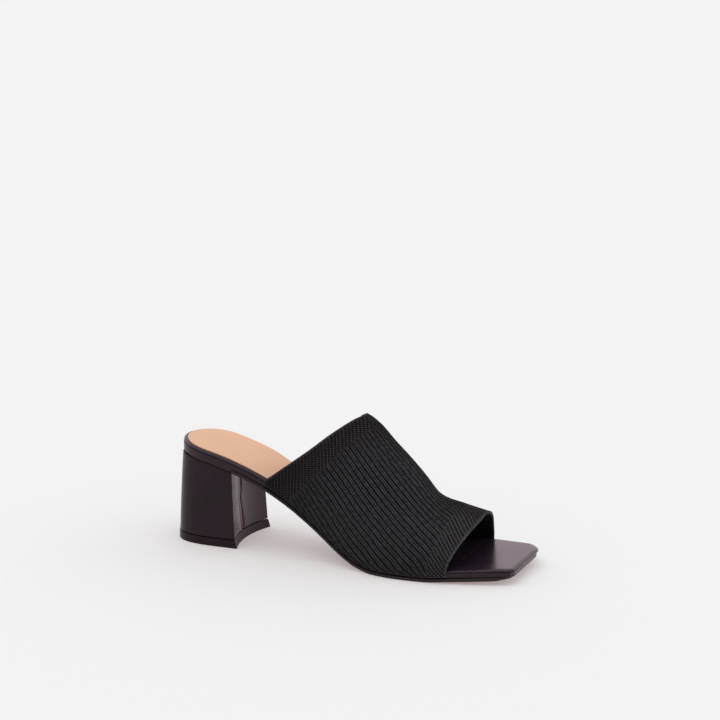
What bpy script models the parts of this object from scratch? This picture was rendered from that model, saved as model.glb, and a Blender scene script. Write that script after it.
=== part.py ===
# A right-foot mule sandal: a knitted band over a leather footbed, on a covered block heel.
# Lengths are in metres. +X runs from the heel to the toe, +Y to the inner side of the foot, +Z up.
# The pieces are worked out with the back of the footbed at x = 0 and the floor at z = 0, and then moved
# together so that the origin is at the middle of the shoe, on the floor.

from math import cos, hypot, pi, sin

import bmesh
import bpy
import numpy as np
from mathutils import Vector

MM = 0.001

# Sizes of the sole
SOLE_LENGTH = 243 * MM
HALF_BALL = 40 * MM
HEEL_RISE = 61.8 * MM
TOE_SPRING = 3.4 * MM
HEEL_ARC = 26 * MM
OUTER_TOE_CORNER = 4 * MM
INNER_TOE_CORNER = 12 * MM
OUTSOLE_THICKNESS = 2.0 * MM
OUTSOLE_PROUD = 1.2 * MM
BOARD_THICKNESS = 3.3 * MM
COVER_THICKNESS = 1.4 * MM
COVER_SETBACK = 0.3 * MM
SOCK_THICKNESS = 0.6 * MM
SOCK_SETBACK = 2.8 * MM
SOCK_LENGTH = 123 * MM
EDGE_ROUND = 0.6 * MM

# Sizes of the knitted band; its plain borders are shares of its run from the collar to the toe opening
WALL = 1.4 * MM
RIB_STEP = 0.35 * MM
RIB_RAMP = 0.005
INSTEP_HEIGHT = 94.5 * MM
TOE_LEAN = 1.6
COLLAR_BORDER = 0.125
TOE_BORDER_SIDE = 0.90
TOE_BORDER_TOP = 0.82

# Sizes of the heel
HEEL_LENGTH = 44.3 * MM
HEEL_HALF_WIDTH = 26.6 * MM
LIFT_THICKNESS = 5.5 * MM
LIFT_PROUD = 0.35 * MM
LIFT_KICK = 1.4 * MM
BREAST_HOLLOW = 5.2 * MM

# Clearance between pieces that seat on each other
FIT = 0.3 * MM

# Outline of the footbed from the end of the heel's arc to the toe: how far along as a share of SOLE_LENGTH,
# and the half widths to the outer and the inner side as shares of HALF_BALL
OUTLINE_COLUMNS = ("along", "outer", "inner")
OUTLINE = (
    (0.105, 0.628, 0.620),
    (0.211, 0.632, 0.592),
    (0.335, 0.595, 0.480),
    (0.458, 0.690, 0.498),
    (0.581, 0.900, 0.700),
    (0.685, 1.010, 0.905),
    (0.788, 0.965, 1.000),
    (0.870, 0.850, 0.950),
    (0.931, 0.730, 0.888),
    (0.975, 0.645, 0.820),
    (1.000, 0.630, 0.775),
)

# Underside of the sole: how far along as a share of SOLE_LENGTH, and its height as shares of HEEL_RISE
# and of TOE_SPRING. It is flat on the floor under the ball.
PROFILE_COLUMNS = ("along", "rise", "spring")
PROFILE = (
    (0.000, 1.000, 0.000),
    (0.108, 0.925, 0.000),
    (0.211, 0.812, 0.000),
    (0.267, 0.722, 0.000),
    (0.314, 0.624, 0.000),
    (0.417, 0.380, 0.000),
    (0.520, 0.122, 0.000),
    (0.573, 0.036, 0.000),
    (0.623, 0.000, 0.000),
    (0.763, 0.000, 0.000),
    (0.828, 0.000, 0.360),
    (0.911, 0.000, 0.700),
    (1.000, 0.000, 1.000),
)

# Arched sections of the band, evenly spread from the collar to the toe opening. Where each one stands on the
# outer and the inner side and where it crosses the ridge are shares of SOLE_LENGTH, the ridge's height is a
# share of INSTEP_HEIGHT, and its shift to the inner side is a share of HALF_BALL. "side" and "crown" say how
# upright the arch leaves the rand and how flat its top is.
BAND_COLUMNS = ("foot_outer", "foot_inner", "ridge_at", "ridge_height", "ridge_shift", "side", "crown")
BAND = (
    (0.286, 0.316, 0.530, 1.009, 0.10, 0.26, 0.42),
    (0.370, 0.400, 0.571, 0.938, 0.10, 0.26, 0.39),
    (0.455, 0.480, 0.618, 0.821, 0.10, 0.29, 0.39),
    (0.530, 0.550, 0.660, 0.719, 0.10, 0.31, 0.38),
    (0.605, 0.621, 0.701, 0.604, 0.10, 0.34, 0.40),
    (0.672, 0.688, 0.738, 0.487, 0.10, 0.36, 0.40),
    (0.719, 0.737, 0.761, 0.456, 0.09, 0.36, 0.40),
    (0.775, 0.787, 0.811, 0.432, 0.06, 0.34, 0.38),
    (0.832, 0.846, 0.888, 0.399, 0.04, 0.30, 0.35),
)

# Level sections of the heel from its foot to its seat. Back and front are shares of HEEL_LENGTH, the half
# width is a share of HEEL_HALF_WIDTH and the hollow of the breast is a share of BREAST_HOLLOW.
HEEL_COLUMNS = ("level", "back", "width", "front", "square", "hollow")
HEEL = (
    (0.00, -0.005, 1.000, 1.061, 3.0, 1.00),
    (0.35, 0.008, 0.985, 1.039, 2.9, 0.97),
    (0.70, 0.025, 0.960, 1.018, 2.8, 0.92),
    (1.00, 0.042, 0.930, 1.000, 2.7, 0.88),
)
HEEL_WIDEST = 0.71
HEEL_FRONT_TAPER = 0.975

# Numbers of steps along the shapes
ARC_STEPS = 8
SIDE_STEPS = 30
CORNER_STEPS = 5
COLLAR_STEPS = 3
FIELD_STEPS = 20
TOE_BORDER_STEPS = 5
BOW_STEPS = 36
HEEL_ARC_STEPS = 9
HEEL_SIDE_STEPS = 4


def smooth(xs, ys, x):
    """The smooth curve through the points (xs, ys) that never overshoots between them, read at x."""
    step = np.diff(xs)
    slope = np.diff(ys) / step
    tangent = [slope[0]]
    for i in range(1, len(xs) - 1):
        before = 2 * step[i] + step[i - 1]
        after = step[i] + 2 * step[i - 1]
        same_way = slope[i - 1] * slope[i] > 0
        tangent.append((before + after) / (before / slope[i - 1] + after / slope[i]) if same_way else 0)
    tangent.append(slope[-1])
    x = min(max(x, xs[0]), xs[-1])
    i = min(int(np.searchsorted(xs, x, side="right")) - 1, len(step) - 1)
    t = (x - xs[i]) / step[i]
    value = (1 + 2 * t) * (1 - t) ** 2 * ys[i] + t * t * (3 - 2 * t) * ys[i + 1]
    return value + step[i] * t * (1 - t) * ((1 - t) * tangent[i] - t * tangent[i + 1])


def column(table, names, name):
    return [row[names.index(name)] for row in table]


def outline_width(x, side):
    """Half width of the footbed at x, forward of the heel's arc."""
    along = column(OUTLINE, OUTLINE_COLUMNS, "along")
    return HALF_BALL * smooth(along, column(OUTLINE, OUTLINE_COLUMNS, side), x / SOLE_LENGTH)


def underside(x):
    """Height of the sole's underside above the floor at x."""
    along = column(PROFILE, PROFILE_COLUMNS, "along")
    rise = smooth(along, column(PROFILE, PROFILE_COLUMNS, "rise"), x / SOLE_LENGTH)
    spring = smooth(along, column(PROFILE, PROFILE_COLUMNS, "spring"), x / SOLE_LENGTH)
    return HEEL_RISE * rise + TOE_SPRING * spring


# The outsole ends behind in a butt against a nearly upright face of the board, which is thicker over the heel
BUTT = HEEL_LENGTH + FIT
BUTT_FACE = BUTT + FIT / 3
OUTSOLE_BACK = BUTT_FACE + FIT


def outsole_top(x):
    return underside(x) + OUTSOLE_THICKNESS


def board_bottom(x):
    return underside(x) if x <= BUTT else outsole_top(x) + FIT


def board_top(x):
    return outsole_top(x) + FIT + BOARD_THICKNESS


def cover_top(x):
    return board_top(x) + FIT + COVER_THICKNESS


def stations():
    """The places along the sole that every flat piece has in common, between the heel's arc and the toe's corners."""
    last = SOLE_LENGTH - INNER_TOE_CORNER
    named = [HEEL_ARC, BUTT, BUTT_FACE, OUTSOLE_BACK, SOCK_LENGTH, last]
    even = [HEEL_ARC + (last - HEEL_ARC) * k / SIDE_STEPS for k in range(1, SIDE_STEPS)]
    apart = (last - HEEL_ARC) / SIDE_STEPS / 3
    return sorted(named + [x for x in even if min(abs(x - other) for other in named) > apart])


def side_points(side, start, end):
    """Points (x, half width) of one side of a piece that runs from start to end, from the heel forward."""
    points = []
    if start == 0:
        width = outline_width(HEEL_ARC, side)
        for k in range(ARC_STEPS):
            angle = pi / 2 * k / ARC_STEPS
            points.append((HEEL_ARC * (1 - cos(angle)), width * sin(angle)))
    points += [(x, outline_width(x, side)) for x in stations() if start <= x <= end]
    if end < SOLE_LENGTH:
        return points
    corner = OUTER_TOE_CORNER if side == "outer" else INNER_TOE_CORNER
    flat = outline_width(end, side) - corner
    for k in range(CORNER_STEPS):
        turn = k / (CORNER_STEPS - 1) if side == "outer" else (k + 1) / CORNER_STEPS
        x = end - corner * (1 - sin(turn * pi / 2))
        points.append((x, flat + (outline_width(x, side) - flat) * cos(turn * pi / 2)))
    return points


def outward(points, start, end):
    """The outward direction at each point of side_points. A cut end keeps its place along the sole."""
    directions = []
    for i in range(len(points)):
        before = points[max(i - 1, 0)]
        after = points[min(i + 1, len(points) - 1)]
        direction = Vector((before[1] - after[1], after[0] - before[0])).normalized()
        directions.append(direction)
    directions[0] = Vector((-1, 0)) if start == 0 else Vector((0, 1))
    directions[-1] = Vector((1, 0)) if end == SOLE_LENGTH else Vector((0, 1))
    return directions


def material(name, colour, roughness):
    made = bpy.data.materials.new(name)
    made.use_nodes = True
    shader = made.node_tree.nodes["Principled BSDF"]
    shader.inputs["Base Color"].default_value = (*colour, 1)
    shader.inputs["Roughness"].default_value = roughness
    shader.inputs["Metallic"].default_value = 0
    return made


def solid(name, points, faces, finish):
    """One closed body from its points and faces, with its faces turned outwards."""
    mesh = bpy.data.meshes.new(name)
    mesh.from_pydata(points, [], faces)
    form = bmesh.new()
    form.from_mesh(mesh)
    bmesh.ops.recalc_face_normals(form, faces=form.faces)
    form.to_mesh(mesh)
    form.free()
    mesh.shade_smooth()
    mesh.set_sharp_from_angle(angle=pi / 5)
    mesh.materials.append(finish)
    piece = bpy.data.objects.new(name, mesh)
    bpy.context.collection.objects.link(piece)
    return piece


def stacked(name, layers, finish):
    """A body from level layers. Each layer is two chains of points that run side by side and are bridged by rungs
    at the bottom and the top; where both chains start or end in one point, that point is shared."""
    points = []
    faces = []
    rings = []
    for left, right in layers:
        first = [len(points) + i for i in range(len(left))]
        points += left
        second = []
        for i, point in enumerate(right):
            shared = (Vector(point) - Vector(left[i])).length < FIT / 100
            second.append(first[i] if shared else len(points))
            if not shared:
                points.append(point)
        rings.append((first, second))
    count = len(layers[0][0])
    for (lower_left, lower_right), (upper_left, upper_right) in zip(rings, rings[1:]):
        for lower, upper in ((lower_left, upper_left), (lower_right, upper_right)):
            for i in range(count - 1):
                faces.append((lower[i], lower[i + 1], upper[i + 1], upper[i]))
        for i in (0, count - 1):
            if lower_left[i] != lower_right[i]:
                faces.append((lower_left[i], lower_right[i], upper_right[i], upper_left[i]))
    for left, right in (rings[0], rings[-1]):
        for i in range(count - 1):
            corners = dict.fromkeys((left[i], left[i + 1], right[i + 1], right[i]))
            faces.append(tuple(corners))
    return solid(name, points, faces, finish)


def slab(name, start, end, layers, finish):
    """A flat piece of the sole. Each layer says how far it stands outside the footbed's outline and its height."""
    placed = []
    for proud, height in layers:
        chains = []
        for side, sign in (("outer", -1), ("inner", 1)):
            line = side_points(side, start, end)
            chain = []
            for (x, width), direction in zip(line, outward(line, start, end)):
                x += proud * direction.x
                width += proud * direction.y
                chain.append((x, sign * width, height(x)))
            chains.append(chain)
        placed.append(chains)
    return stacked(name, placed, finish)


def raised(height, by):
    return lambda x: height(x) + by


def make_outsole():
    layers = (
        (OUTSOLE_PROUD - EDGE_ROUND, underside),
        (OUTSOLE_PROUD, raised(underside, EDGE_ROUND)),
        (OUTSOLE_PROUD, outsole_top),
    )
    finish = material("outsole rubber", (0.030, 0.026, 0.025), 0.55)
    return slab("outsole", OUTSOLE_BACK, SOLE_LENGTH, layers, finish)


def make_board():
    layers = (
        (0, board_bottom),
        (0, raised(board_top, -EDGE_ROUND)),
        (-EDGE_ROUND, board_top),
    )
    finish = material("rand leather", (0.018, 0.017, 0.018), 0.35)
    return slab("footbed_board", 0, SOLE_LENGTH, layers, finish)


def make_cover():
    bottom = raised(board_top, FIT)
    layers = (
        (-COVER_SETBACK - EDGE_ROUND, bottom),
        (-COVER_SETBACK, raised(bottom, EDGE_ROUND)),
        (-COVER_SETBACK - EDGE_ROUND / 3, raised(cover_top, -EDGE_ROUND / 2)),
        (-COVER_SETBACK - EDGE_ROUND * 2, cover_top),
    )
    finish = material("cover leather", (0.020, 0.019, 0.020), 0.30)
    return slab("insole_cover", 0, SOLE_LENGTH, layers, finish)


def make_sock():
    bottom = raised(cover_top, FIT)
    layers = ((-SOCK_SETBACK, bottom), (-SOCK_SETBACK, raised(bottom, SOCK_THICKNESS)))
    finish = material("sock leather", (0.76, 0.58, 0.43), 0.55)
    return slab("heel_sock", 0, SOCK_LENGTH, layers, finish)


def band_size(name, u):
    """A size of the band's arched section at u, from 0 at the collar to 1 at the toe opening."""
    rows = [k / (len(BAND) - 1) for k in range(len(BAND))]
    return smooth(rows, column(BAND, BAND_COLUMNS, name), u)


def beside_rand(x, side):
    """How far the band's outer face stands beside the outline, square to the foot, for a clearance of FIT."""
    slope = (outline_width(x + MM, side) - outline_width(x - MM, side)) / (2 * MM)
    return (FIT + WALL) * hypot(1, slope)


def band_point(u, v):
    """A point of the band's outer face above the rand. v runs from -1 at the outer side over the ridge to 1 at the
    inner side. The sections lean forward as they rise, by TOE_LEAN more slowly at the toe opening."""
    side = "outer" if v < 0 else "inner"
    sign = -1 if v < 0 else 1
    s = 1 - abs(v)
    handle_out = 3 * (1 - s) ** 2 * s
    handle_in = 3 * (1 - s) * s * s
    across = (1 - s) ** 3 + handle_out + handle_in * band_size("crown", u)
    up = handle_out * band_size("side", u) + handle_in + s**3
    foot = SOLE_LENGTH * band_size("foot_" + side, u)
    lean = up ** (1 + (TOE_LEAN - 1) * u)
    x = foot + (SOLE_LENGTH * band_size("ridge_at", u) - foot) * lean
    ridge_y = HALF_BALL * band_size("ridge_shift", u)
    foot_y = sign * (outline_width(x, side) + beside_rand(x, side))
    y = ridge_y + (foot_y - ridge_y) * across
    z = cover_top(foot) + (INSTEP_HEIGHT * band_size("ridge_height", u) - cover_top(foot)) * up
    return Vector((x, y, z))


def band_normal(u, v):
    """The band's outward direction at (u, v)."""
    near = 1e-3
    u0 = min(max(u, near), 1 - near)
    v0 = min(max(v, near - 1), 1 - near)
    along = band_point(u0 + near, v0) - band_point(u0 - near, v0)
    around = band_point(u0, v0 + near) - band_point(u0, v0 - near)
    return along.cross(around).normalized()


def band_courses(v):
    """Where the cross rows of the band lie at v, each with the share of RIB_STEP that it is raised by."""
    collar = COLLAR_BORDER
    toe = TOE_BORDER_TOP + (TOE_BORDER_SIDE - TOE_BORDER_TOP) * abs(v) ** 1.5
    rows = [(collar * k / COLLAR_STEPS, 0) for k in range(COLLAR_STEPS + 1)]
    first, last = collar + RIB_RAMP, toe - RIB_RAMP
    rows += [(first + (last - first) * k / FIELD_STEPS, 1) for k in range(FIELD_STEPS + 1)]
    rows += [(toe + (1 - toe) * k / TOE_BORDER_STEPS, 0) for k in range(TOE_BORDER_STEPS + 1)]
    return rows


def band_sections():
    """The lengthwise rows of the band: where each lies over the arch, and whether it is the hem down at the sole."""
    arch = [(2 * j / BOW_STEPS - 1, False) for j in range(BOW_STEPS + 1)]
    return [(-1, True)] + arch + [(1, True)]


def make_band():
    points = []
    for depth in (0, 1):
        for v, hem in band_sections():
            for u, share in band_courses(v):
                out = RIB_STEP * share if depth == 0 else -WALL
                point = band_point(u, v)
                if hem:
                    point.z = outsole_top(point.x) + FIT
                points.append(tuple(point + out * band_normal(u, v)))
    rows = len(band_sections())
    across = len(band_courses(0))
    faces = []

    def at(depth, j, i):
        return (depth * rows + j) * across + i

    for j in range(rows - 1):
        for i in range(across - 1):
            faces.append((at(0, j, i), at(0, j, i + 1), at(0, j + 1, i + 1), at(0, j + 1, i)))
            faces.append((at(1, j, i), at(1, j + 1, i), at(1, j + 1, i + 1), at(1, j, i + 1)))
        for i in (0, across - 1):
            faces.append((at(0, j, i), at(0, j + 1, i), at(1, j + 1, i), at(1, j, i)))
    for i in range(across - 1):
        for j in (0, rows - 1):
            faces.append((at(0, j, i), at(0, j, i + 1), at(1, j, i + 1), at(1, j, i)))
    finish = material("knit", (0.022, 0.022, 0.023), 0.85)
    return solid("knit_upper", points, faces, finish)


def heel_chains(level, height, proud=0, kick=0):
    """The level section of the heel: its side and back in one chain, and its hollow breast in the other."""
    levels = column(HEEL, HEEL_COLUMNS, "level")
    size = {name: smooth(levels, column(HEEL, HEEL_COLUMNS, name), level) for name in HEEL_COLUMNS}
    back = size["back"] * HEEL_LENGTH - proud
    front = size["front"] * HEEL_LENGTH + proud + kick
    width = size["width"] * HEEL_HALF_WIDTH + proud
    widest = HEEL_WIDEST * HEEL_LENGTH
    power = 2 / size["square"]
    half = []
    for k in range(HEEL_SIDE_STEPS):
        share = k / HEEL_SIDE_STEPS
        half.append((front + (widest - front) * share, width * (HEEL_FRONT_TAPER + (1 - HEEL_FRONT_TAPER) * share)))
    for k in range(HEEL_ARC_STEPS + 1):
        angle = pi / 2 * k / HEEL_ARC_STEPS
        half.append((widest - (widest - back) * sin(angle) ** power, width * max(cos(angle), 0) ** power))
    half[-1] = (back, 0)
    outline = [(x, -y) for x, y in half] + [(x, y) for x, y in reversed(half[:-1])]
    steps = len(outline) - 1
    edge = half[0][1]
    breast = []
    for k in range(steps + 1):
        y = edge * (2 * k / steps - 1)
        hollow = size["hollow"] * BREAST_HOLLOW * (1 - (y / edge) ** 2)
        breast.append((front - hollow, y))
    return [[(x, y, height(x)) for x, y in chain] for chain in (outline, breast)]


def make_heel():
    foot = LIFT_THICKNESS + FIT

    def height(level, drop=0):
        return lambda x: foot + level * (underside(x) - FIT - drop - foot)

    layers = [heel_chains(row[0], height(row[0], EDGE_ROUND)) for row in HEEL]
    layers.append(heel_chains(1, height(1), proud=-EDGE_ROUND))
    return stacked("heel_block", layers, material("heel cover leather", (0.016, 0.015, 0.016), 0.22))


def make_lift():
    lip = EDGE_ROUND / 2

    def level_at(z):
        return lambda x: z

    layers = (
        heel_chains(0, level_at(0), LIFT_PROUD - lip, LIFT_KICK),
        heel_chains(0, level_at(lip), LIFT_PROUD, LIFT_KICK),
        heel_chains(0, level_at(LIFT_THICKNESS - lip), LIFT_PROUD),
        heel_chains(0, level_at(LIFT_THICKNESS), LIFT_PROUD - lip),
    )
    return stacked("top_lift", layers, material("lift rubber", (0.022, 0.020, 0.020), 0.45))


def main():
    for other in list(bpy.data.objects):
        bpy.data.objects.remove(other)
    pieces = [make_outsole(), make_board(), make_cover(), make_sock(), make_band(), make_heel(), make_lift()]
    corners = np.array([vertex.co for piece in pieces for vertex in piece.data.vertices])
    low, high = corners.min(axis=0), corners.max(axis=0)
    shoe = bpy.data.objects.new("shoe", None)
    shoe.location = (-(low[0] + high[0]) / 2, -(low[1] + high[1]) / 2, -low[2])
    bpy.context.collection.objects.link(shoe)
    for piece in pieces:
        piece.parent = shoe


main()
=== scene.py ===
from math import cos, pi, radians, sin

import bmesh
import bpy
import numpy as np
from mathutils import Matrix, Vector


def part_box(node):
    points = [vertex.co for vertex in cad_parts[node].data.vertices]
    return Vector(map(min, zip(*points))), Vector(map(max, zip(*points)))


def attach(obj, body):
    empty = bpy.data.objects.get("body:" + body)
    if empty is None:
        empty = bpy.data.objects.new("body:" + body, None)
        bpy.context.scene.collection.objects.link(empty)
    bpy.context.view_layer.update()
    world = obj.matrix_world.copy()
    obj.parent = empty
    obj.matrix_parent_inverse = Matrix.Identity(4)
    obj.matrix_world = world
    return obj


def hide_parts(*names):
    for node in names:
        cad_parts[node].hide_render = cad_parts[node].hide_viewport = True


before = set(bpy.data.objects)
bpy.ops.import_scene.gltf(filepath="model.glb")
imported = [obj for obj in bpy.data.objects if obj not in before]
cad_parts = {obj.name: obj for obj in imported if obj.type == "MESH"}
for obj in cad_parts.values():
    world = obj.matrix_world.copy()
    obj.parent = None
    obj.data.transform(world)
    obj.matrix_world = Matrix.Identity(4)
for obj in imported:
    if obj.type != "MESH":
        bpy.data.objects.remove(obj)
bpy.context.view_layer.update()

MM = 0.001

# Sizes of the shoe, in metres, as in the part's source. Only the outer toe corner differs, 4 mm there
SOLE_LENGTH = 243 * MM
HALF_BALL = 40 * MM
HEEL_RISE = 61.8 * MM
TOE_SPRING = 3.4 * MM
HEEL_ARC = 26 * MM
OUTER_TOE_CORNER = 5 * MM
INNER_TOE_CORNER = 12 * MM
OUTSOLE_THICKNESS = 2.0 * MM
OUTSOLE_PROUD = 1.2 * MM
BOARD_THICKNESS = 3.3 * MM
COVER_THICKNESS = 1.4 * MM
COVER_SETBACK = 0.3 * MM
SOCK_THICKNESS = 0.6 * MM
SOCK_SETBACK = 2.8 * MM
SOCK_LENGTH = 123 * MM
WALL = 1.4 * MM
INSTEP_HEIGHT = 94.5 * MM
TOE_LEAN = 1.6  # a power: how far the band leans to the toe as it rises
HEEL_LENGTH = 44.3 * MM
HEEL_HALF_WIDTH = 26.6 * MM
LIFT_THICKNESS = 5.5 * MM
LIFT_PROUD = 0.35 * MM
LIFT_KICK = 1.4 * MM
BREAST_HOLLOW = 5.2 * MM
FIT = 0.3 * MM
BUTT = HEEL_LENGTH + FIT  # where the heel block ends and the outsole begins
OUTSOLE_BACK = BUTT + FIT / 3 + FIT

# The part's curves, as shares of its lengths, widths and heights above
OUTLINE = {
    "along": (0.105, 0.211, 0.335, 0.458, 0.581, 0.685, 0.788, 0.870, 0.931, 0.975, 1.000),
    "outer": (0.628, 0.632, 0.595, 0.690, 0.900, 1.010, 0.965, 0.850, 0.730, 0.645, 0.630),
    "inner": (0.620, 0.592, 0.480, 0.498, 0.700, 0.905, 1.000, 0.950, 0.888, 0.820, 0.775),
}
PROFILE = {
    "along": (0, 0.108, 0.211, 0.267, 0.314, 0.417, 0.520, 0.573, 0.623, 0.763, 0.828, 0.911, 1),
    "rise": (1, 0.925, 0.812, 0.722, 0.624, 0.380, 0.122, 0.036, 0, 0, 0, 0, 0),
    "spring": (0, 0, 0, 0, 0, 0, 0, 0, 0, 0, 0.36, 0.70, 1),
}
BAND = {
    "foot_outer": (0.286, 0.370, 0.455, 0.530, 0.605, 0.672, 0.719, 0.775, 0.832),
    "foot_inner": (0.316, 0.400, 0.480, 0.550, 0.621, 0.688, 0.737, 0.787, 0.846),
    "ridge_at": (0.530, 0.571, 0.618, 0.660, 0.701, 0.738, 0.761, 0.811, 0.888),
    "ridge_height": (1.009, 0.938, 0.821, 0.719, 0.604, 0.487, 0.456, 0.432, 0.399),
    "ridge_shift": (0.10, 0.10, 0.10, 0.10, 0.10, 0.10, 0.09, 0.06, 0.04),
    "side": (0.26, 0.26, 0.29, 0.31, 0.34, 0.36, 0.36, 0.34, 0.30),
    "crown": (0.42, 0.39, 0.39, 0.38, 0.40, 0.40, 0.40, 0.38, 0.35),
}
HEEL = {
    "level": (0, 0.35, 0.70, 1),
    "back": (-0.005, 0.008, 0.025, 0.042),
    "width": (1.000, 0.985, 0.960, 0.930),
    "front": (1.061, 1.039, 1.018, 1.000),
    "square": (3.0, 2.9, 2.8, 2.7),
    "hollow": (1.00, 0.97, 0.92, 0.88),
}
HEEL_WIDEST = 0.71
HEEL_FRONT_TAPER = 0.975

# What the scene adds at the heel and the toe
HEEL_BACK_EASE = 0.9 * MM
HEEL_BACK_GAP = 1.0 * MM
HEEL_EDGE = 0.7 * MM
FOLD_AT = -4.8 * MM
BREAST_FACES = 0.75  # faces whose normal's x is more than this look forward
TOE_FACES = 0.6
TOE_FRONT = 230 * MM

# The knit: ribs counted from the ridge out, at shares of the band's run and of the way down to its foot
RIBS = {
    "run": (0.10, 0.22, 0.34, 0.46, 0.58, 0.70, 0.80, 0.90),
    "ridge": (0.00, 0.00, 0.00, 0.00, -0.03, -0.82, -2.56, -5.56),
    "quarter": (6.94, 6.37, 5.85, 5.47, 5.31, 4.87, 3.93, 2.25),
    "half": (13.86, 13.13, 12.38, 11.58, 10.69, 9.72, 8.61, 6.90),
    "three_quarters": (21.07, 19.74, 18.70, 17.51, 15.76, 14.18, 12.76, 10.71),
    "foot": (27.41, 24.51, 22.99, 21.58, 19.15, 17.13, 15.46, 12.72),
}
# Soft ridges (height above 0) and troughs that run along the band, by shares of its run and of the way down
CREASES = {
    "from": (0.10, 0.08, 0.05, 0.72, 0.55),
    "to": (0.74, 0.42, 0.38, 0.90, 0.92),
    "down_from": (0.32, 0.56, 0.76, 0.16, 0.74),
    "down_to": (0.47, 0.55, 0.80, 0.30, 0.70),
    "height": (0.70, -0.75, -0.60, -0.40, -0.45),
    "width": (0.080, 0.070, 0.075, 0.060, 0.070),
}
FIRST_GROOVE = 0.32
LINES_PER_RIB = 12
COLLAR_BORDER = 0.115  # the ribbed field lies between the two, in shares of the run
TOE_BORDER = 0.885
RIB_STEP = 0.35 * MM
BORDER_STEP = 0.35 * MM
ROUND_EDGE = 0.5 * MM
HEM = 3.5 * MM
HEM_SCALE = 60 * MM  # below the foot, v = 1 more is this far down
HEM_RIBS = 18
NEAR = 1e-3  # a small step in u or v, to find directions
BAND_ROWS = 121
HEEL_LEVELS = 28
MERGE_DISTANCE = 2e-6
SHARP_ANGLE = radians(50)

# Lengths in the knit's material, in mm
RIB_PITCH = 3.35
STITCH_LENGTH = 1.55
MESH_PITCH = 2.55

# The knit's colours. The warm ones paint shade, darker and warmer, on the borders at the collar and over the
# toes' ridge
KNIT_COLOURS = {
    "dim": (0.0085, 0.0085, 0.0096),
    "dim_warm_shaded": (0.0090, 0.0070, 0.0078),
    "bright": (0.085, 0.084, 0.090),
    "bright_warm_shaded": (0.060, 0.050, 0.055),
    "border_warm_shaded": (0.112, 0.088, 0.098),
    "border": (0.130, 0.124, 0.133),
    # also painted into the rib grooves, as their pinholes and as painted shade
    "hole": (0.0035, 0.0032, 0.0035),
    "edge": (0.09, 0.085, 0.09),
    # the colour of the painted shade on the knit, towards the foot, at the rear of the arch and along the ridge
    "painted_shade": (0.0045, 0.0038, 0.0045),
    "lining": (0.0045, 0.0035, 0.0042),
}

# The part's x = 0 is at the back of the footbed, and its middle plane is the heel's
heel_low, heel_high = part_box("heel_block")
ORIGIN = np.array([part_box("footbed_board")[0].x, (heel_low.y + heel_high.y) / 2, 0])


def smooth(xs, ys, x):
    """The part's own curve through the points (xs, ys), read at the values x."""
    xs, ys, x = np.asarray(xs, float), np.asarray(ys, float), np.asarray(x, float)
    step = np.diff(xs)
    slope = np.diff(ys) / step
    before = 2 * step[1:] + step[:-1]
    after = step[1:] + 2 * step[:-1]
    same_way = slope[:-1] * slope[1:] > 0
    first = np.where(same_way, slope[:-1], 1)
    second = np.where(same_way, slope[1:], 1)
    middle = np.where(same_way, (before + after) / (before / first + after / second), 0)
    tangent = np.concatenate([slope[:1], middle, slope[-1:]])
    x = np.clip(x, xs[0], xs[-1])
    i = np.clip(np.searchsorted(xs, x, side="right") - 1, 0, len(step) - 1)
    t = (x - xs[i]) / step[i]
    value = (1 + 2 * t) * (1 - t) ** 2 * ys[i] + t * t * (3 - 2 * t) * ys[i + 1]
    return value + step[i] * t * (1 - t) * ((1 - t) * tangent[i] - t * tangent[i + 1])


def step_up(low, high, x):
    """A soft step from 0 at low to 1 at high."""
    t = np.clip((x - low) / (high - low), 0, 1)
    return t * t * (3 - 2 * t)


def bell(x, width):
    """A soft hump, 1 at x = 0."""
    return np.exp(-((x / width) ** 2))


def outline_width(x, side):
    """The footbed's half width at x, to its outer or inner side."""
    return HALF_BALL * smooth(OUTLINE["along"], OUTLINE[side], x / SOLE_LENGTH)


def underside(x):
    """The height of the sole's underside over the floor."""
    rise = smooth(PROFILE["along"], PROFILE["rise"], x / SOLE_LENGTH)
    return HEEL_RISE * rise + TOE_SPRING * smooth(PROFILE["along"], PROFILE["spring"], x / SOLE_LENGTH)


def outsole_top(x):
    return underside(x) + OUTSOLE_THICKNESS


def board_top(x):
    return outsole_top(x) + FIT + BOARD_THICKNESS


def cover_top(x):
    return board_top(x) + FIT + COVER_THICKNESS


def finish_mesh(name, points, faces, uvs=None):
    """A mesh object from points in the part's own coordinates, moved into the frame."""
    mesh = bpy.data.meshes.new(name)
    mesh.from_pydata((np.asarray(points) + ORIGIN).tolist(), [], faces)
    for layer, values in (uvs or {}).items():
        uv = mesh.uv_layers.new(name=layer)
        corner = np.empty(len(mesh.loops), np.int64)
        mesh.loops.foreach_get("vertex_index", corner)
        uv.data.foreach_set("uv", np.asarray(values, np.float32)[corner].ravel())
    form = bmesh.new()
    form.from_mesh(mesh)
    bmesh.ops.remove_doubles(form, verts=form.verts, dist=MERGE_DISTANCE)
    bmesh.ops.recalc_face_normals(form, faces=form.faces)
    form.to_mesh(mesh)
    form.free()
    mesh.shade_smooth()
    mesh.set_sharp_from_angle(angle=SHARP_ANGLE)
    piece = bpy.data.objects.new(name, mesh)
    bpy.context.scene.collection.objects.link(piece)
    return piece


def grid_faces(rows, columns, start=0):
    """The quads of a grid of points, numbered row after row."""
    index = start + np.arange(rows * columns).reshape(rows, columns)
    quads = np.stack([index[:-1, :-1], index[:-1, 1:], index[1:, 1:], index[1:, :-1]], -1)
    return quads.reshape(-1, 4).tolist()


# ---- The knitted band ----

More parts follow.
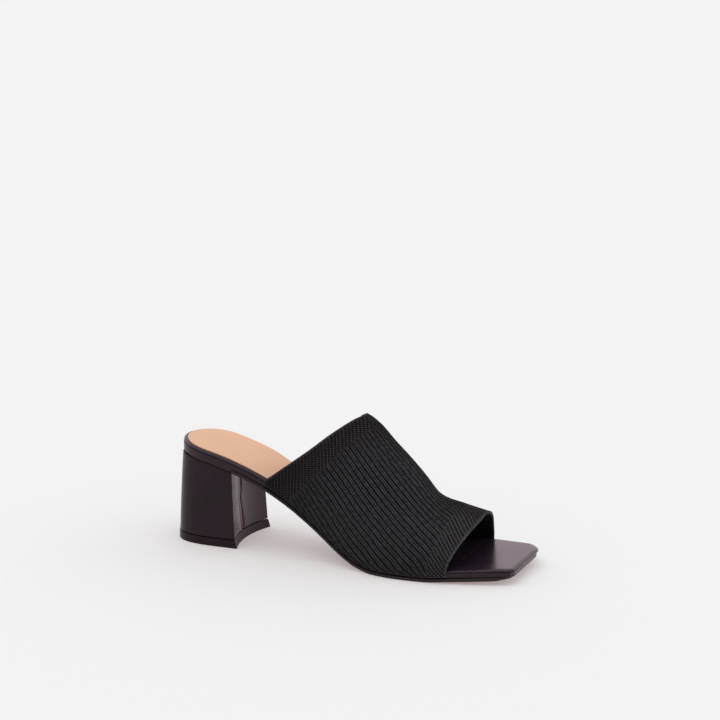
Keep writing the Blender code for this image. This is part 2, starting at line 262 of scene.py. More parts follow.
def band_point(u, v):
    """Points of the band's outer face, which runs on straight outside u = 0 to 1."""
    u, v = np.broadcast_arrays(np.asarray(u, float), np.asarray(v, float))
    inside = np.clip(u, 0, 1)
    past = u - inside
    base = band_core(inside, v)
    if np.any(past != 0):
        ahead = band_core(np.clip(inside + NEAR, 0, 1), v) - band_core(np.clip(inside - NEAR, 0, 1), v)
        base = base + ahead * (past / NEAR)[..., None]
    return base


def band_core(u, v):
    """The part's own face, with u from the collar to the toe and v = 0 on the ridge.

    v is -1 at the outer foot and 1 at the inner one. Past them the wall goes straight down to its hem.
    """
    size = {name: smooth(np.linspace(0, 1, len(values)), values, u) for name, values in BAND.items()}
    outer = v < 0
    below = np.maximum(np.abs(v) - 1, 0)
    s = 1 - np.minimum(np.abs(v), 1)
    handle_out = 3 * (1 - s) ** 2 * s
    handle_in = 3 * (1 - s) * s * s
    across = (1 - s) ** 3 + handle_out + handle_in * size["crown"]
    up = handle_out * size["side"] + handle_in + s**3
    foot = SOLE_LENGTH * np.where(outer, size["foot_outer"], size["foot_inner"])
    x = foot + (SOLE_LENGTH * size["ridge_at"] - foot) * up ** (1 + (TOE_LEAN - 1) * u)
    width = np.where(outer, outline_width(x, "outer"), outline_width(x, "inner"))
    ahead = np.where(outer, outline_width(x + MM, "outer"), outline_width(x + MM, "inner"))
    behind = np.where(outer, outline_width(x - MM, "outer"), outline_width(x - MM, "inner"))
    beside = (FIT + WALL) * np.hypot(1, (ahead - behind) / (2 * MM))
    foot_y = np.where(outer, -1, 1) * (width + beside)
    ridge_y = HALF_BALL * size["ridge_shift"]
    z = cover_top(foot) + (INSTEP_HEIGHT * size["ridge_height"] - cover_top(foot)) * up - below * HEM_SCALE
    return np.stack([x, ridge_y + (foot_y - ridge_y) * across, z], -1)


def band_normal(u, v):
    """The outward direction of the band's face."""
    along = (band_point(u + NEAR, v) - band_point(u - NEAR, v)) / (2 * NEAR)
    side = np.where(v < 0, -1.0, 1.0)
    v_in = np.where(np.abs(v) < NEAR, side * NEAR, v)
    around = (band_point(u, v_in + NEAR) - band_point(u, v_in - NEAR)) / (2 * NEAR)
    normal = np.cross(along, around)
    return normal / np.linalg.norm(normal, axis=-1, keepdims=True)


def rib_count(u, w):
    """Ribs between the ridge and the point at share w of the way down to the foot."""
    u = np.clip(u, RIBS["run"][0], TOE_BORDER)
    names = ("ridge", "quarter", "half", "three_quarters", "foot")
    at = np.linspace(0, 1, len(names))
    inside = np.minimum(w, 1)
    total = HEM_RIBS * np.maximum(w - 1, 0)
    for i, name in enumerate(names):
        weight = np.ones_like(inside)
        for j in range(len(names)):
            if j != i:
                weight = weight * (inside - at[j]) / (at[i] - at[j])
        total = total + weight * smooth(RIBS["run"], RIBS[name], u)
    return total


def rib_relief(count, run):
    """How far the knit stands off its base in the ribbed field, no two ribs quite alike."""
    phase = count - FIRST_GROOVE
    number = np.round(phase)
    nearest = np.abs(phase - number)
    half = np.abs(phase - np.floor(phase) - 0.5)
    uneven = 1 + 0.22 * np.sin(number * 12.9 + run * 90) + 0.12 * np.sin(number * 5.3 + run * 410)
    groove = bell(nearest, 0.13)
    middle = bell(half, 0.09)
    return RIB_STEP * (1.35 - 2.1 * groove * uneven - middle)


def crease_relief(run, down):
    """The band's creases in metres, at shares of its run and of the way down to its foot."""
    total = np.zeros_like(down)
    for start, stop, first, last, height, width in zip(*CREASES.values()):
        line = first + (last - first) * np.clip((run - start) / (stop - start), 0, 1)
        fade = step_up(start - 0.08, start + 0.10, run) * (1 - step_up(stop - 0.10, stop + 0.08, run))
        total = total + height * MM * fade * bell(down - line, width)
    return total


def band_relief(share, v, run, to_edge, count, ribbed):
    """How far the band's outer face stands off the part's, at shares of its run."""
    w = np.abs(v)
    border = BORDER_STEP * (1 - ribbed)
    rolled_edge = 0.12 * MM * bell(to_edge, 0.9 * MM)
    collar_bulge = 0.55 * MM * bell(w, 0.22) * bell(share - 0.06, 0.13)
    toe_bulge = 0.45 * MM * bell(w, 0.30) * step_up(0.68, 0.80, share)
    collar_dip = 0.6 * MM * bell(w, 0.12) * bell(run, 2.2 * MM)
    soft = collar_bulge + toe_bulge - collar_dip + crease_relief(share, np.where(v < 0, w, w + 0.05))
    return ribbed * rib_relief(count, run) + border + rolled_edge + soft


def band_lines(us):
    """Lines that follow the ribs: the value v of each one at each u, and which line is drawn in its place.

    A line that would lie past the ridge or the hem is folded into the last one that does not.
    """
    end = 1 + HEM / HEM_SCALE
    ways = np.linspace(0, end, 241)
    lowest = int(np.floor(RIBS["ridge"][-1])) * LINES_PER_RIB
    highest = int(np.ceil(RIBS["foot"][0] + HEM_RIBS * (end - 1))) * LINES_PER_RIB
    marks = np.arange(lowest, highest + 1) / LINES_PER_RIB
    v, keep = [], []
    for u in us:
        half = np.interp(marks, np.maximum.accumulate(rib_count(np.full_like(ways, u), ways)), ways)
        inner = np.where((half > 0) & (half < end))[0]
        kept = np.clip(np.arange(len(marks)), inner[0] - 1, inner[-1] + 1)
        v.append(np.concatenate([-half[::-1], half]))
        keep.append(np.concatenate([len(marks) - 1 - kept[::-1], len(marks) + kept]))
    return np.array(v), np.array(keep)


def path_length(points, axis):
    """The way from the first point to each along one axis of a grid of points."""
    steps = np.linalg.norm(np.diff(points, axis=axis), axis=-1)
    return np.insert(np.cumsum(steps, axis), 0, 0, axis)


def make_band():
    """The band: its outer face with a line for each part of a rib, the lining, and the edges between them."""
    us = np.linspace(0, 1, BAND_ROWS)
    v, keep = band_lines(us)
    rows, columns = v.shape
    w = np.abs(v)
    share = np.repeat(us[:, None], columns, 1)
    # the edges at the collar and the toe wave a little, and the rows between follow them
    flank = step_up(0.03, 0.20, w) * (1 - step_up(0.36, 0.62, w))
    collar = 0.014 * bell(w, 0.19) - 0.0068 * flank
    toe = 1 - 0.006 * bell(w, 0.13) + 0.007 * step_up(0.1, 0.5, v)
    u = collar + (toe - collar) * share
    base = band_point(u, v)
    normal = band_normal(u, v)
    normal[w >= 1, 2] = 0
    normal /= np.linalg.norm(normal, axis=-1, keepdims=True)
    run, around = path_length(base, 0), path_length(base, 1)
    to_edge = np.minimum(run, run[-1] - run)
    count = rib_count(share, w)
    past_collar = step_up(COLLAR_BORDER - 0.03, COLLAR_BORDER + 0.03, share)
    ribbed = past_collar * (1 - step_up(TOE_BORDER - 0.02, TOE_BORDER + 0.02, share))
    outer = base + band_relief(share, v, run, to_edge, count, ribbed)[..., None] * normal
    inner = base - WALL * normal

    points, faces = list(outer.reshape(-1, 3)), []
    layers = {"knit": (run / MM, count), "border": (to_edge / MM, around / MM), "zone": (1 - ribbed, w)}
    layers = {name: list(np.stack(pair, -1).reshape(-1, 2)) for name, pair in layers.items()}
    layers["inside"] = list(np.zeros((len(points), 2)))

    def extra(point, i, k, inside=0):
        """One more point, off the outer face, that takes its values from the outer face's point (i, k)."""
        points.append(point)
        for layer in layers.values():
            layer.append(layer[i * columns + k])
        layers["inside"][-1] = np.array([inside, 0.0])
        return len(points) - 1

    def face(corners):
        corners = list(dict.fromkeys(corners))
        if len(corners) > 2:
            faces.append(corners)

    number = (np.arange(rows)[:, None] * columns + keep).tolist()
    for low, high in zip(number, number[1:]):
        for j in range(columns - 1):
            face((low[j], high[j], high[j + 1], low[j + 1]))

    # the lining side, with one line for each rib, and the hem's lower edges
    middle = columns // 2
    coarse = sorted(set(range(0, columns, LINES_PER_RIB)) | {middle - 1, middle, columns - 1})
    stops = [list(dict.fromkeys(keep[i, coarse].tolist())) for i in range(rows)]
    lining = [{k: extra(inner[i, k], i, k, inside=1) for k in stops[i]} for i in range(rows)]
    for i in range(rows - 1):
        low = {j: lining[i][keep[i, j]] for j in coarse}
        high = {j: lining[i + 1][keep[i + 1, j]] for j in coarse}
        for a, b in zip(coarse, coarse[1:]):
            face((low[a], low[b], high[b], high[a]))
        for j in (0, columns - 1):
            face((number[i][j], number[i + 1][j], high[j], low[j]))

    # the round edges at the collar and the toe
    for i, beyond in ((0, 1), (rows - 1, rows - 2)):
        ahead = base[i] - base[beyond]
        ahead /= np.linalg.norm(ahead, axis=1, keepdims=True)
        ring = list(dict.fromkeys(keep[i].tolist()))
        rim = {k: extra((outer[i, k] + inner[i, k]) / 2 + ahead[k] * ROUND_EDGE, i, k) for k in ring}
        for a, b in zip(ring, ring[1:]):
            face((i * columns + a, i * columns + b, rim[b], rim[a]))
        for a, b in zip(stops[i], stops[i][1:]):
            between = ring[ring.index(a):ring.index(b) + 1]
            face([rim[k] for k in between] + [lining[i][b], lining[i][a]])
        for k in (ring[0], ring[-1]):
            face((i * columns + k, rim[k], lining[i][k]))

    used = np.unique([corner for each in faces for corner in each])
    renumber = np.full(len(points), -1)
    renumber[used] = np.arange(len(used))
    faces = [renumber[each].tolist() for each in faces]
    uvs = {name: np.array(layer)[used] for name, layer in layers.items()}
    return finish_mesh("knit_band", np.array(points)[used], faces, uvs)


# ---- The flat pieces of the sole ----

def side_line(side, start, end, spacing=2 * MM):
    """Points (x, half width) of one side of a flat piece and the outward direction at each."""
    points = []
    last = SOLE_LENGTH - INNER_TOE_CORNER
    if start == 0:
        width = float(outline_width(HEEL_ARC, side))
        for k in range(36):
            angle = pi / 2 * k / 36
            points.append((HEEL_ARC * (1 - cos(angle)), width * sin(angle)))
        start = HEEL_ARC
    stop = min(end, last)
    count = int((stop - start) / spacing) + 2
    points += [(x, float(outline_width(x, side))) for x in np.linspace(start, stop, count)]
    if end == SOLE_LENGTH:
        corner = OUTER_TOE_CORNER if side == "outer" else INNER_TOE_CORNER
        flat = float(outline_width(end, side)) - corner
        if side == "outer":
            points += [(x, float(outline_width(x, side))) for x in np.linspace(last, end - corner, 8)[1:-1]]
        steps = 7 if side == "outer" else 12
        for k in range(0 if side == "outer" else 1, steps + 1):
            turn = pi / 2 * k / steps
            x = end - corner * (1 - sin(turn))
            points.append((x, flat + (float(outline_width(x, side)) - flat) * cos(turn)))
    points = np.array(points)
    before = np.vstack([points[:1], points[:-1]])
    after = np.vstack([points[1:], points[-1:]])
    way = np.stack([before[:, 1] - after[:, 1], after[:, 0] - before[:, 0]], -1)
    way /= np.linalg.norm(way, axis=1, keepdims=True)
    way[0] = (-1, 0) if points[0, 0] == 0 else (0, 1)
    way[-1] = (1, 0) if end == SOLE_LENGTH else (0, 1)
    return points, way


def make_slab(name, start, end, layers, stands=None, across=28):
    """A flat piece of the sole from layers (proud, height), lowest first, with gridded faces above and below.

    A layer's proud is a distance or a function of x. stands(x, side) is added to it on every layer.
    """
    chains = {}
    for side, sign in (("outer", -1), ("inner", 1)):
        line, way = side_line(side, start, end)
        extra = stands(line[:, 0], side) if stands else np.zeros(len(line))
        chains[side] = []
        for proud, height in layers:
            out = (proud(line[:, 0]) if callable(proud) else proud) + extra
            x = line[:, 0] + out * way[:, 0]
            y = line[:, 1] + out * way[:, 1]
            chains[side].append(np.stack([x, sign * y, height(x)], -1))
    count = min(len(chains["outer"][0]), len(chains["inner"][0]))

    def even(chain):
        """The same number of points on both sides."""
        if len(chain) == count:
            return chain
        at = np.linspace(0, len(chain) - 1, count)
        return np.stack([np.interp(at, np.arange(len(chain)), chain[:, k]) for k in range(3)], -1)

    left = [even(chain) for chain in chains["outer"]]
    right = [even(chain) for chain in chains["inner"]]
    share = np.linspace(0, 1, across + 1)[:, None]
    points, faces = [], []

    def add(grid):
        grid = np.asarray(grid)
        faces.extend(grid_faces(grid.shape[0], grid.shape[1], len(points)))
        points.extend(grid.reshape(-1, 3))

    add(left)
    add(right)
    for i in ([0, -1] if start > 0 else [-1]):
        add([low[i] + (high[i] - low[i]) * share for low, high in zip(left, right)])
    for i in (0, -1):
        add([a + (b - a) * share for a, b in zip(left[i], right[i])])
    return finish_mesh(name, points, faces)


def raised(height, by):
    return lambda x: height(x) + by


def rounded(proud, low, high, radius_low, radius_high, steps=4, inward=None, toe_inward=0):
    """Layers of an edge from height low to high with round corners, standing proud of the outline.

    The upper corner draws in by inward, or else by its radius, and by toe_inward at the toe.
    """
    inward = inward or radius_high
    layers = []
    for k in range(steps + 1):
        angle = pi / 2 * k / steps
        layers.append((proud - radius_low * (1 - sin(angle)), raised(low, radius_low * (1 - cos(angle)))))
    for k in range(steps + 1):
        angle = pi / 2 * k / steps
        back = proud - inward * (1 - cos(angle))
        if toe_inward:
            back = easing(back, (toe_inward - inward) * (1 - cos(angle)))
        layers.append((back, raised(high, -radius_high * (1 - sin(angle)))))
    return layers


def easing(back, more):
    """An edge that draws in by more where the footbed comes out at the toe."""
    return lambda x: back - more * step_up(170 * MM, 215 * MM, x)


def board_low(x):
    """The rand goes down to the heel block at the rear and to the outsole before it."""
    return np.where(x <= BUTT, underside(x), outsole_top(x) + FIT)


def thinned(x):
    """The outsole's underside, thinned at the toe."""
    return underside(x) + 0.8 * MM * step_up(TOE_FRONT, 240 * MM, x)


def drawn_in(x, side):
    """The outsole's edge draws in at the toe, on both sides alike."""
    return -3.7 * MM * step_up(232 * MM, 242 * MM, x)


def cover_edge(x, side):
    """The cover's edge stands a little further out at the toe, on the inner side."""
    return (1.4 if side == "inner" else 0.0) * MM * step_up(222 * MM, 238 * MM, x)


# ---- The heel ----

def heel_ring(level, height, proud=0.0, kick=0.0, folded=False, arc=40, side=10, across=72):
    """A level section of the heel: round its sides and back from the breast's edge, then along the breast."""
    size = {name: float(smooth(HEEL["level"], values, level)) for name, values in HEEL.items()}
    back = size["back"] * HEEL_LENGTH - proud - HEEL_BACK_EASE
    front = size["front"] * HEEL_LENGTH + proud + kick
    width = size["width"] * HEEL_HALF_WIDTH + proud
    widest = HEEL_WIDEST * HEEL_LENGTH
    power = 2 / size["square"]
    half = []
    for k in range(side):
        share = k / side
        taper = HEEL_FRONT_TAPER + (1 - HEEL_FRONT_TAPER) * share
        half.append((front + (widest - front) * share, width * taper))
    for k in range(arc + 1):
        angle = pi / 2 * (k / arc)
        half.append((widest - (widest - back) * sin(angle) ** power, width * max(cos(angle), 0) ** power))
    half[-1] = (back, 0)
    outline = [(x, -y) for x, y in half] + [(x, y) for x, y in reversed(half[:-1])]
    edge = half[0][1]
    breast = []
    for k in range(1, across):
        y = edge * (1 - 2 * k / across)
        hollow = size["hollow"] * BREAST_HOLLOW * (1 - (y / edge) ** 2)
        breast.append((front - hollow + (breast_fold(y, level) if folded else 0), y))
    ring = outline + breast
    return np.array([(x, y, height(x)) for x, y in ring])


def breast_fold(y, level):
    """The cover's joint down the breast: a soft lip with a crease beside it, which wanders a little."""
    middle = FOLD_AT + 1.2 * MM * sin(level * 9 + 0.6) + 0.4 * MM * sin(level * 23)
    lip = 0.65 * MM * bell(y - middle, 1.6 * MM)
    crease = 1.1 * MM * bell(y - middle - 2.3 * MM, 1.1 * MM)
    return lip - crease


def make_tower(name, rings):
    """A closed body from rings of points, one above the other."""
    count = len(rings[0])
    points = [point for ring in rings for point in ring]
    faces = []
    for low in range(0, (len(rings) - 1) * count, count):
        for i in range(count):
            j = (i + 1) % count
            faces.append([low + i, low + j, low + count + j, low + count + i])
    faces.append(list(range(count))[::-1])
    faces.append(list(range(len(points) - count, len(points))))
    return finish_mesh(name, points, faces)


def make_heel():
    """The heel block in its cover, from the lift up to the sole, with rounded edges."""
    foot = LIFT_THICKNESS + FIT

    def section(level, drop, inset=0.0):
        """The heel at a share of its height, drop below the sole's underside, with more of a gap at the back."""

        def height(x):
            seat = float(underside(x)) - FIT
            gap = HEEL_BACK_GAP * level**8 * (1 - float(step_up(0, 15 * MM, x)))
            return foot + level * (seat - foot) - drop - gap

        return heel_ring(level, height, proud=-inset, folded=True)

    rings = [section(0, 0, HEEL_EDGE), heel_ring(0, lambda x: foot + 0.45 * MM, folded=True)]
    for k in range(1, HEEL_LEVELS + 1):
        level = k / HEEL_LEVELS
        rings.append(section(level, 0.5 * MM * level**8))
    rings += [section(1, 0.15 * MM, 0.15 * MM), section(1, 0, HEEL_EDGE)]
    return make_tower("heel_cover", rings)


def make_lift():
    """The lift, with bevelled edges. It kicks forward at the breast, most at the floor."""
    lip = 0.4 * MM
    bevel = 0.12 * MM

    def section(z, inset=0.0, kick=0.0):
        return heel_ring(0, lambda x: z, LIFT_PROUD - inset, kick)

    rings = [section(0, lip, LIFT_KICK), section(bevel, bevel, LIFT_KICK), section(lip, 0, LIFT_KICK)]
    for k in range(1, 8):
        share = k / 8
        rings.append(section(lip + (LIFT_THICKNESS - 2 * lip) * share, 0, LIFT_KICK * (1 - share)))
    rings += [section(LIFT_THICKNESS - lip), section(LIFT_THICKNESS, lip)]
    return make_tower("heel_lift", rings)


# ---- Materials ----

class Nodes:
    """A short way to build the nodes of a material or a world."""

    def __init__(self, owner):
        owner.use_nodes = True
        self.tree = owner.node_tree

    def add(self, kind, **values):
        node = self.tree.nodes.new("ShaderNode" + kind)
        for key, value in values.items():
            setattr(node, key, value)
        return node

    def link(self, source, target):
        self.tree.links.new(source, target)

    def put(self, socket, value):
        if isinstance(value, bpy.types.NodeSocket):
            self.link(value, socket)
        else:
            socket.default_value = value

    def math(self, operation, a, b=0.0, clamp=False):
        node = self.add("Math", operation=operation, use_clamp=clamp)
        for socket, value in zip(node.inputs, (a, b)):
            self.put(socket, value)
        return node.outputs[0]

    def times(self, a, b):
        return self.math("MULTIPLY", a, b)

    def plus(self, a, b):
        return self.math("ADD", a, b)

    def mix(self, share, first, second):
        node = self.add("Mix", data_type="RGBA")
        self.put(node.inputs["Factor"], share)
        for socket, value in ((node.inputs[6], first), (node.inputs[7], second)):
            self.put(socket, (*value, 1) if isinstance(value, tuple) else value)
        return node.outputs[2]

    def range(self, value, low, high, to_low, to_high, smooth=False):
        """The value carried over from low to high onto to_low to to_high, and held there."""
        node = self.add("MapRange", interpolation_type="SMOOTHSTEP" if smooth else "LINEAR")
        for socket, each in zip(node.inputs, (value, low, high, to_low, to_high)):
            self.put(socket, each)
        return node.outputs[0]

    def noise(self, scale, detail=2.0, roughness=0.5, vector=None, stretch=None):
        if vector is None:
            vector = self.add("TexCoord").outputs["Object"]
        if stretch:
            mapping = self.add("Mapping")
            self.link(vector, mapping.inputs["Vector"])
            mapping.inputs["Scale"].default_value = stretch
            vector = mapping.outputs[0]
        node = self.add("TexNoise")
        self.link(vector, node.inputs["Vector"])
        node.inputs["Scale"].default_value = scale
        node.inputs["Detail"].default_value = detail
        node.inputs["Roughness"].default_value = roughness
        return node.outputs["Fac"]

    def bump(self, height, distance, normal=None):
        node = self.add("Bump")
        node.inputs["Strength"].default_value = 1
        node.inputs["Distance"].default_value = distance
        self.link(height, node.inputs["Height"])
        if normal is not None:
            self.link(normal, node.inputs["Normal"])
        return node.outputs[0]


def new_material(name):
    """A new material, its nodes and its shader."""
    material = bpy.data.materials.new(name)
    n = Nodes(material)
    return material, n, n.tree.nodes["Principled BSDF"]


def leather(name, colour, roughness, specular, tint=(1, 0.88, 0.93), grain=900.0, depth=0.03,
            waves=0.0, wave_scale=60, stretch=None, patchy=0.15):
    """Leather or rubber with a grain depth mm deep, soft waves, and patches of another tone and gloss."""
    material, n, shader = new_material(name)
    cell = n.add("TexVoronoi", feature="DISTANCE_TO_EDGE")
    n.link(n.add("TexCoord").outputs["Object"], cell.inputs["Vector"])
    cell.inputs["Scale"].default_value = grain
    fine = n.math("MINIMUM", cell.outputs["Distance"], 0.35)
    normal = n.bump(n.plus(fine, n.noise(grain * 0.35, 4)), depth * MM)
    if waves:
        normal = n.bump(n.noise(wave_scale, 3, stretch=stretch), waves * MM, normal=normal)
    n.link(normal, shader.inputs["Normal"])
    patch = n.noise(45, 4)
    colours = n.add("Mix", data_type="RGBA", blend_type="MULTIPLY")
    colours.inputs["Factor"].default_value = 1
    colours.inputs[6].default_value = (*colour, 1)
    n.link(n.range(patch, 0.3, 0.7, 1 - patchy, 1 + patchy), colours.inputs[7])
    n.link(colours.outputs[2], shader.inputs["Base Color"])
    n.link(n.range(patch, 0.3, 0.7, roughness * 0.88, roughness * 1.12), shader.inputs["Roughness"])
    shader.inputs["Specular IOR Level"].default_value = specular
    shader.inputs["Specular Tint"].default_value = (*tint, 1)
    return material


def knit_material():
    """The knit, from the values that make_band gives to each point.

    "knit" holds mm from the collar and ribs from the ridge, "border" mm to the nearer edge and mm around,
    "zone" how plain the knit is and the share of the way down, and "inside" 1 on the lining.
    """
    material, n, shader = new_material("knit")
    values = []
    for layer in ("knit", "border", "zone", "inside"):
        split = n.add("SeparateXYZ")
        n.link(n.add("UVMap", uv_map=layer).outputs[0], split.inputs[0])
        values += split.outputs[:2]
    run, count, to_edge, around, zone, down, lining, _ = values
    colours = KNIT_COLOURS
    plain = n.range(zone, 0.3, 0.7, 0.0, 1.0, smooth=True)
    field = n.math("SUBTRACT", 1.0, plain)
    off_groove = n.math("PINGPONG", n.math("SUBTRACT", count, FIRST_GROOVE), 0.5)
    off_middle = n.math("SUBTRACT", 0.5, off_groove)
    groove = n.range(off_groove, 0.10, 0.28, 1.0, 0.0, smooth=True)
    middle = n.range(off_middle, 0.02, 0.14, 1.0, 0.0, smooth=True)
    vector = n.add("CombineXYZ")
    n.link(run, vector.inputs[0])
    n.link(n.times(count, RIB_PITCH), vector.inputs[1])
    uneven = n.noise(0.35, 3, 0.6, vector=vector.outputs[0])
    yarn = n.noise(1.1, 3, 0.7, vector=vector.outputs[0])

    # stitches, a V to each side of each rib's middle, and the pinholes between them in the grooves. The grooves'
    # dark colour is partly these pinholes and partly painted shade in the grooves
    slant = n.times(off_groove, 2.2)
    stitch = n.math("SINE", n.times(n.plus(run, slant), 2 * pi / STITCH_LENGTH))
    pinhole = n.plus(n.times(stitch, 0.5), 0.5)
    strong = n.times(groove, n.plus(n.times(pinhole, 0.5), 0.5))
    weak = n.times(middle, n.plus(n.times(pinhole, 0.5), 0.35))

    # holes of the plain borders, in staggered rows along the edge
    spots = []
    for shift in (0.0, 0.5):
        squares = []
        for value, pitch in ((to_edge, MESH_PITCH), (around, MESH_PITCH * 1.05)):
            off = n.math("FRACT", n.plus(n.math("DIVIDE", value, pitch), shift))
            off = n.math("SUBTRACT", off, 0.5)
            squares.append(n.times(off, off))
        spots.append(n.plus(*squares))
    hole = n.range(n.math("MINIMUM", *spots), 0.070, 0.150, 1.0, 0.0, smooth=True)
    hole = n.times(hole, n.range(to_edge, 0.5, 1.3, 0.0, 1.0))
    hole = n.times(hole, n.range(uneven, 0.35, 0.6, 0.8, 1.0))
    hole = n.times(hole, plain)
    groove_shade_and_holes = n.math("MAXIMUM", n.times(strong, field), n.times(weak, field))
    groove_shade_and_holes = n.math("MAXIMUM", groove_shade_and_holes, hole)

    # painted shade: the plain borders at the collar and over the toes' ridge are painted a little darker and
    # warmer
    at_collar = n.range(run, 5.0, 27.0, 1.0, 0.0, smooth=True)
    on_top = n.times(plain, n.range(down, 0.08, 0.30, 1.0, 0.0, smooth=True))
    warm_border_shade = n.math("MAXIMUM", at_collar, on_top)
    dim = n.mix(warm_border_shade, colours["dim"], colours["dim_warm_shaded"])
    bright = n.mix(warm_border_shade, colours["bright"], colours["bright_warm_shaded"])
    bright = n.mix(n.times(warm_border_shade, plain), bright, colours["border_warm_shaded"])
    light = n.plus(n.times(stitch, 0.18), n.plus(uneven, yarn))
    thread = n.mix(n.range(light, 0.65, 1.4, 0.0, 1.0), dim, bright)
    pale = n.math("SUBTRACT", plain, warm_border_shade, clamp=True)
    pale = n.times(pale, n.range(to_edge, 0.3, 1.6, 0.10, 0.66))
    thread = n.mix(pale, thread, colours["border"])
    # the grooves take the holes' colour: painted shade in the grooves with their pinholes, and the real holes of
    # the borders
    colour = n.mix(groove_shade_and_holes, thread, colours["hole"])
    colour = n.mix(n.range(to_edge, 0.1, 0.6, 0.06, 0.0), colour, colours["edge"])

    # painted shade: the knit is painted darker towards the foot, at the rear of the arch and along the ridge
    low = n.range(down, 0.50, 1.05, 0.0, 0.34, smooth=True)
    rear = n.range(down, 0.25, 0.75, 0.0, 0.20, smooth=True)
    rear = n.times(rear, n.range(run, 10.0, 52.0, 1.0, 0.0, smooth=True))
    over = n.range(down, 0.03, 0.12, 0.26, 0.0, smooth=True)
    painted_shade = n.math("MAXIMUM", n.plus(low, rear), over)
    colour = n.mix(painted_shade, colour, colours["painted_shade"])
    colour = n.mix(n.times(lining, 0.7), colour, colours["lining"])
    n.link(colour, shader.inputs["Base Color"])
    height = n.plus(n.times(stitch, 0.22), n.times(yarn, 0.7))
    height = n.math("SUBTRACT", height, n.times(hole, 2.2))
    n.link(n.bump(height, 0.3 * MM), shader.inputs["Normal"])
    shader.inputs["Roughness"].default_value = 0.85
    shader.inputs["Specular IOR Level"].default_value = 0.12
    shader.inputs["Sheen Weight"].default_value = 0.02
    shader.inputs["Sheen Roughness"].default_value = 0.4
    return material


# ---- The pieces ----

def place(piece, material, slot, *nodes):
    """Gives a piece its material, puts it under the root body, and hides the solids of the part it stands for.
    """
    piece.data.materials.clear()
    piece.data.materials.append(material)
    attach(piece, "root")
    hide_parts(*nodes)
    return piece


def face_material(piece, material, wanted):
    """Gives the faces for which wanted holds a material of their own."""
    piece.data.materials.append(material)
    for polygon in piece.data.polygons:
        if wanted(polygon):
            polygon.material_index = len(piece.data.materials) - 1


black = leather("black_leather", (0.022, 0.0125, 0.0165), 0.30, 0.25, waves=0.03)
# painted highlight: a glossier, pinker copy of the rand's leather for its forward faces at the toe, which
# brightens them as light would
toe_front_lit = leather("toe_front_painted_highlight", (0.022, 0.0135, 0.0180), 0.30, 0.60, tint=(1, 0.80, 0.88), waves=0.03)
cover_black = leather("cover_leather", (0.020, 0.0140, 0.0215), 0.27, 0.42, tint=(1, 0.80, 0.88),
                      depth=0.012, waves=0.05, wave_scale=200, stretch=(0.07, 1, 1))
heel_black = leather("heel_leather", (0.0178, 0.0112, 0.0148), 0.26, 0.15, depth=0.010, waves=0.02)
# painted reflection: a much lighter, glossier copy of the heel leather for the breast's faces outside the fold,
# which paints the bright reflection there
breast_flap_reflection = leather("breast_flap_painted_reflection", (0.070, 0.0400, 0.0560), 0.26, 1.0, tint=(1, 0.76, 0.87),
                     depth=0.012, waves=0.03)
# painted highlight: a slightly lighter, glossier copy of the heel leather for the breast's forward faces, which
# brightens them as light would
breast_lit = leather("breast_leather_painted_highlight", (0.022, 0.0110, 0.0170), 0.20, 0.42, tint=(1, 0.72, 0.85),
                       depth=0.012, waves=0.05)
beige = leather("beige_leather", (0.80, 0.487, 0.305), 0.50, 0.35, depth=0.02, waves=0.02, patchy=0.04)
rubber = leather("outsole_rubber", (0.021, 0.0165, 0.0180), 0.50, 0.24, grain=1600, depth=0.02)
lift_rubber = leather("lift_rubber", (0.0140, 0.0080, 0.0115), 0.38, 0.15, grain=1600, depth=0.02)

place(make_band(), knit_material(), "knit", "knit_upper")

edge = rounded(OUTSOLE_PROUD, thinned, raised(outsole_top, 0.15 * MM), 0.3 * MM, 0.6 * MM)
outsole = make_slab("outsole_tread", OUTSOLE_BACK, SOLE_LENGTH, edge, stands=drawn_in)
place(outsole, rubber, "outsole_rubber", "outsole")

edge = [(-0.4 * MM, board_low), (0, raised(board_low, 0.3 * MM))]
edge += rounded(0, raised(board_low, 0.5 * MM), board_top, 0, 0.8 * MM)[1:]
rand = place(make_slab("rand", 0, SOLE_LENGTH, edge), black, "black_leather", "footbed_board")
# the rand's forward faces at the toe take the lit copy with the painted highlight
face_material(rand, toe_front_lit,
              lambda face: face.normal.x > TOE_FACES and face.center.x - ORIGIN[0] > TOE_FRONT)

edge = rounded(-COVER_SETBACK, raised(board_top, 0.1 * MM), cover_top, 0.5 * MM, 1.15 * MM,
               steps=7, inward=1.5 * MM, toe_inward=3.8 * MM)
cover = make_slab("footbed_cover", 0, SOLE_LENGTH, edge, stands=cover_edge)
place(cover, cover_black, "black_leather", "insole_cover")

edge = rounded(-SOCK_SETBACK, raised(cover_top, FIT / 3), raised(cover_top, FIT + SOCK_THICKNESS),
               0.1 * MM, 0.3 * MM, steps=3)
sock = make_slab("heel_sock_lining", 0, SOCK_LENGTH, edge)
place(sock, beige, "beige_leather", "heel_sock")

heel = place(make_heel(), heel_black, "heel_leather", "heel_block")
# the breast's forward faces take the lit copy with the painted highlight
face_material(heel, breast_lit, lambda face: face.normal.x > BREAST_FACES)
# the breast's faces outside the fold take the copy with the painted reflection
face_material(heel, breast_flap_reflection,
              lambda face: face.normal.x > BREAST_FACES and face.center.y - ORIGIN[1] < FOLD_AT)

place(make_lift(), lift_rubber, "lift_rubber", "top_lift")

# ---- Floor, light and camera ----

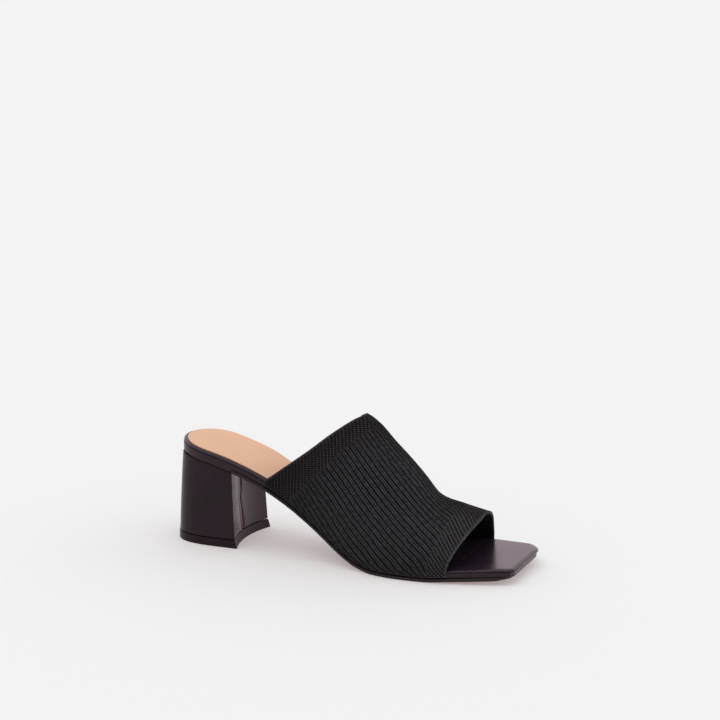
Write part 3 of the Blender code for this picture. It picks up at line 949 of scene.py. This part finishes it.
FLOOR_REACH = 20
FLOOR_DROP = 0.03 * MM  # so that it doesn't lie in the sole's own plane
floor_mesh = bpy.data.meshes.new("floor")
corners = [(-1, -1), (1, -1), (1, 1), (-1, 1)]
floor_mesh.from_pydata([(x * FLOOR_REACH, y * FLOOR_REACH, 0) for x, y in corners], [], [(0, 1, 2, 3)])
floor = bpy.data.objects.new("floor", floor_mesh)
floor.location.z = -FLOOR_DROP
bpy.context.scene.collection.objects.link(floor)
pale, _, shader = new_material("pale_floor")
shader.inputs["Base Color"].default_value = (0.617, 0.692, 0.694, 1)
shader.inputs["Emission Color"].default_value = (1, 0.825, 0.80, 1)
shader.inputs["Emission Strength"].default_value = 0.32
shader.inputs["Roughness"].default_value = 0.9
shader.inputs["Specular IOR Level"].default_value = 0.1
floor_mesh.materials.append(pale)

# the sky is pale all round, darker on the side the camera looks from, and lighter and pinker low down
world = bpy.data.worlds.new("studio")
bpy.context.scene.world = world
n = Nodes(world)
parts = n.add("SeparateXYZ")
n.link(n.add("TexCoord").outputs["Generated"], parts.inputs[0])
x, y, z = parts.outputs
level = n.times(n.range(y, -0.95, 0.35, 0.42, 1.0, smooth=True), n.range(x, -1.0, 1.0, 0.85, 1.0, smooth=True))
level = n.times(level, n.range(z, -0.1, 0.9, 1.45, 0.62, smooth=True))
haze = n.mix(n.range(z, 0.30, 0.50, 1.0, 0.0, smooth=True), (1, 1, 1), (1, 0.84, 0.91))
sky = n.add("VectorMath", operation="SCALE")
n.link(haze, sky.inputs[0])
n.link(level, sky.inputs["Scale"])
background = n.tree.nodes["Background"]
n.link(sky.outputs[0], background.inputs["Color"])
background.inputs["Strength"].default_value = 1.30

key = bpy.data.lights.new("key", "SUN")
key.energy = 0.55
key.angle = radians(60)
lamp = bpy.data.objects.new("key", key)
lamp.rotation_euler = Vector((0.15, 0.30, -1)).to_track_quat("-Z", "Y").to_euler()
bpy.context.scene.collection.objects.link(lamp)

CAMERA_TURN = radians(23.0)
CAMERA_RISE = radians(14.22)
CAMERA_DISTANCE = 1.64021
CAMERA_TARGET = Vector((0.12662, 0, 0.1316))
FOCAL_PIXELS = 2519.76
PHOTO_PIXELS = 720
SENSOR_WIDTH = 36
target = Vector(ORIGIN) + CAMERA_TARGET
out = Vector((sin(CAMERA_TURN) * cos(CAMERA_RISE), -cos(CAMERA_TURN) * cos(CAMERA_RISE), sin(CAMERA_RISE)))
camera_data = bpy.data.cameras.new("camera")
camera_data.sensor_width = SENSOR_WIDTH
camera_data.lens = FOCAL_PIXELS / PHOTO_PIXELS * SENSOR_WIDTH
camera_data.clip_end = 100
camera = bpy.data.objects.new("camera", camera_data)
camera.location = target + out * CAMERA_DISTANCE
camera.rotation_euler = (-out).to_track_quat("-Z", "Y").to_euler()
bpy.context.scene.collection.objects.link(camera)
bpy.context.scene.camera = camera
bpy.context.scene.view_settings.view_transform = "Standard"
